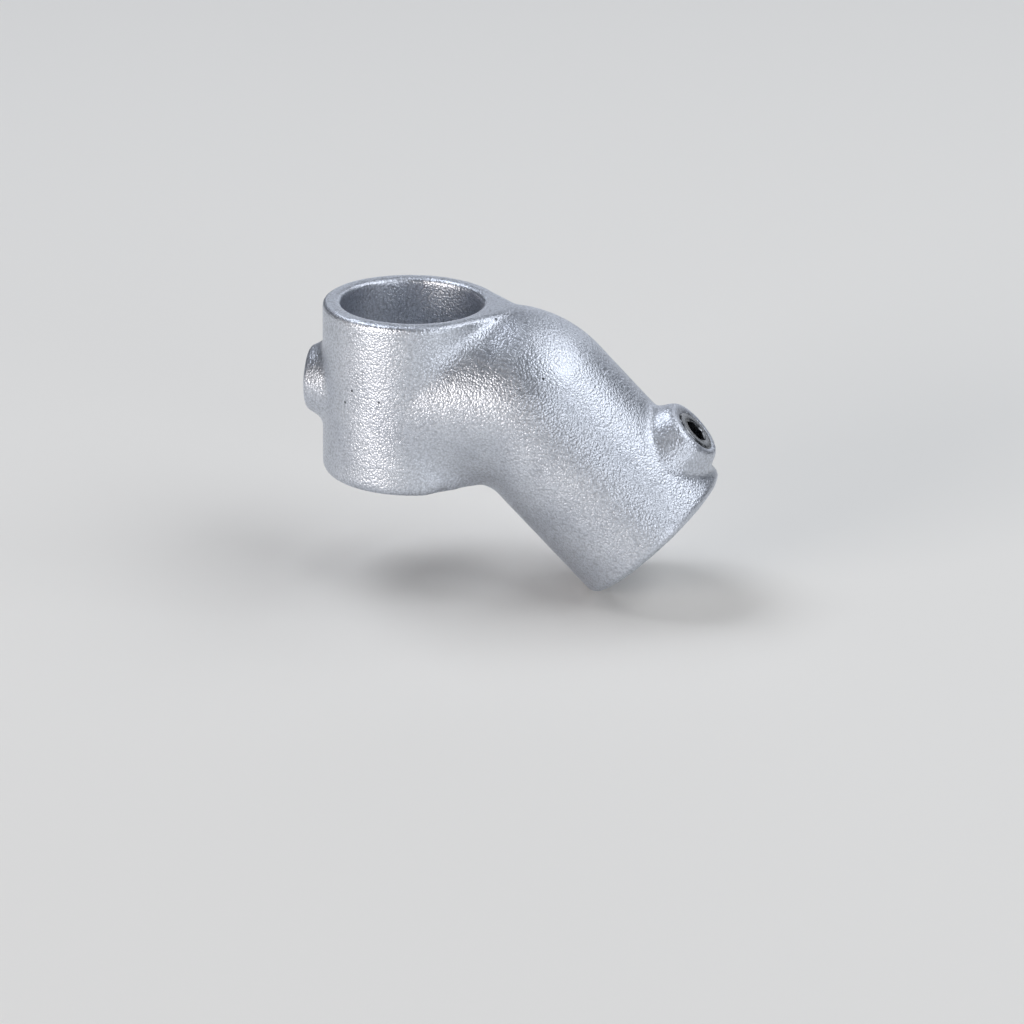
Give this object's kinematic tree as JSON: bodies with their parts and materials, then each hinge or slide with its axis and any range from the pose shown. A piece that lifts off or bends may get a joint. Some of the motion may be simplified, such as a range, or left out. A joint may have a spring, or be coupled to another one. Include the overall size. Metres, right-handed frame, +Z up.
{
  "type": "forty-five degree tube connector",
  "caption": "Cast slip-on connector that clamps a sloping brace tube at forty-five degrees to a continuous upright tube, with socket set screws.",
  "frame": {"origin": "centre of the sleeve bore, at half the sleeve's height", "axes": "+Z up the upright tube, +X towards the brace socket, XZ the plane of symmetry"},
  "size_m": [0.1456, 0.062, 0.1],
  "materials": {
    "galvanised_iron": "satin",
    "screw_steel": "satin"
  },
  "bodies": {
    "casting": {"casting": "galvanised_iron"},
    "sleeve_screw": {"sleeve_set_screw": "screw_steel"},
    "socket_screw": {"socket_set_screw": "screw_steel"}
  },
  "joints": [
    {"name": "sleeve_screw_travel", "type": "slide", "parent": "casting", "child": "sleeve_screw", "axis": [-1, 0, 0], "range_m": [-0.00401, 0.00802]},
    {"name": "socket_screw_travel", "type": "slide", "parent": "casting", "child": "socket_screw", "axis": [0.7071, 0, 0.7071], "range_m": [-0.00401, 0.00802]}
  ]
}
